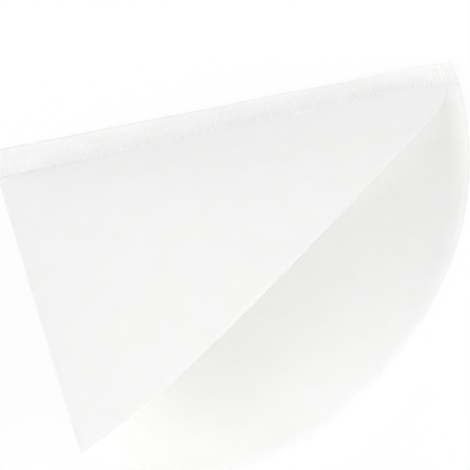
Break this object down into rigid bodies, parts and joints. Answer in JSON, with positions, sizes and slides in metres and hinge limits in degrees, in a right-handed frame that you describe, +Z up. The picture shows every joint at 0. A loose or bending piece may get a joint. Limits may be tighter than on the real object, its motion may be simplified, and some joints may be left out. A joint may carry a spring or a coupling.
{
  "type": "cone coffee filter",
  "caption": "Folded paper cone coffee filter with a crimped seam, lying flat on one panel with its fan-shaped mouth held open.",
  "frame": {"origin": "centre of the bounding box at its bottom, on the surface that the filter lies on", "axes": "+Z up from the surface, +X from the tip towards the mouth, +Y towards the crimped seam"},
  "size_m": [0.1276, 0.169, 0.048],
  "materials": {
    "paper": "bleached white crepe filter paper, matt"
  },
  "bodies": {
    "root": {"filter_paper": "paper"}
  },
  "joints": []
}
